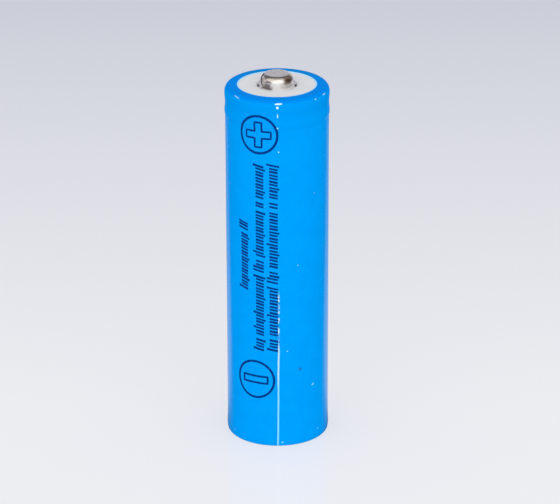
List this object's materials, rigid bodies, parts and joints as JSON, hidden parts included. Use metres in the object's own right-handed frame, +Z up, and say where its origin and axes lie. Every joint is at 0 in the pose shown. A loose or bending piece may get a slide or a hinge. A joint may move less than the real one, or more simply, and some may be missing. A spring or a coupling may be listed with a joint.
{
  "type": "cylindrical lithium-ion cell",
  "caption": "Cylindrical rechargeable cell in a glossy blue shrink sleeve, with a raised button terminal, crimped can, wound roll, safety vent and safety board.",
  "frame": {"origin": "centre of the flat foot, on the cell's axis", "axes": "+Z up the axis to the positive button; +Y towards the back, where the nickel strip runs under the sleeve; -Y towards the sleeve's fold line"},
  "size_m": [0.019, 0.019, 0.0699],
  "materials": {
    "sleeve_film": "glossy shrink film",
    "bright_nickel": "polished nickel plate",
    "white_card": "smooth white insulating card",
    "nickel_strip": "rolled nickel",
    "wrap_film": "thin shrink film",
    "can_steel": "nickel-plated drawn steel",
    "gasket_plastic": "moulded polypropylene",
    "limiter_polymer": "carbon-filled polymer",
    "aluminium_sheet": "stamped",
    "separator_film": "thin porous film",
    "anode_coating": "graphite on copper foil",
    "cathode_coating": "metal oxide on aluminium foil",
    "amber_tape": "polyimide tape",
    "green_tape": "polyester tape",
    "fish_paper": "grey fibre board",
    "board_laminate": "green solder mask on glass laminate",
    "chip_mould": "moulded epoxy",
    "ceramic_chip": "fired ceramic with plated ends"
  },
  "bodies": {
    "cell": {"sleeve": "sleeve_film", "button_terminal": "bright_nickel", "top_insulator_ring": "white_card", "crimp_insulator_ring": "fish_paper", "positive_strip": "nickel_strip", "strip_insulation_tape": "amber_tape", "cell_wrap": "wrap_film", "can": "can_steel", "gasket": "gasket_plastic", "top_cap": "can_steel", "current_limiter_ring": "limiter_polymer", "vent_disc": "aluminium_sheet", "weld_disc": "aluminium_sheet", "weld_disc_holder": "gasket_plastic", "positive_tab": "aluminium_sheet", "separator_inner": "separator_film", "anode_sheet": "anode_coating", "separator_outer": "separator_film", "cathode_sheet": "cathode_coating", "roll_closing_tape": "green_tape", "centre_pin": "can_steel", "upper_insulator_disc": "fish_paper", "lower_insulator_disc": "fish_paper", "negative_tab": "nickel_strip", "can_base_insulator": "fish_paper", "board_spacer_ring": "white_card", "negative_link": "nickel_strip", "protection_board": "board_laminate", "negative_contact_plate": "bright_nickel", "protection_driver": "chip_mould", "switch_pair": "chip_mould", "chip_resistors": "ceramic_chip", "chip_capacitor": "ceramic_chip"},
    "vent": {"vent_diaphragm": "aluminium_sheet"}
  },
  "joints": [
    {"name": "vent_snap", "type": "slide", "parent": "cell", "child": "vent", "axis": [0, 0, 1], "range_m": [0, 0.0005]}
  ]
}
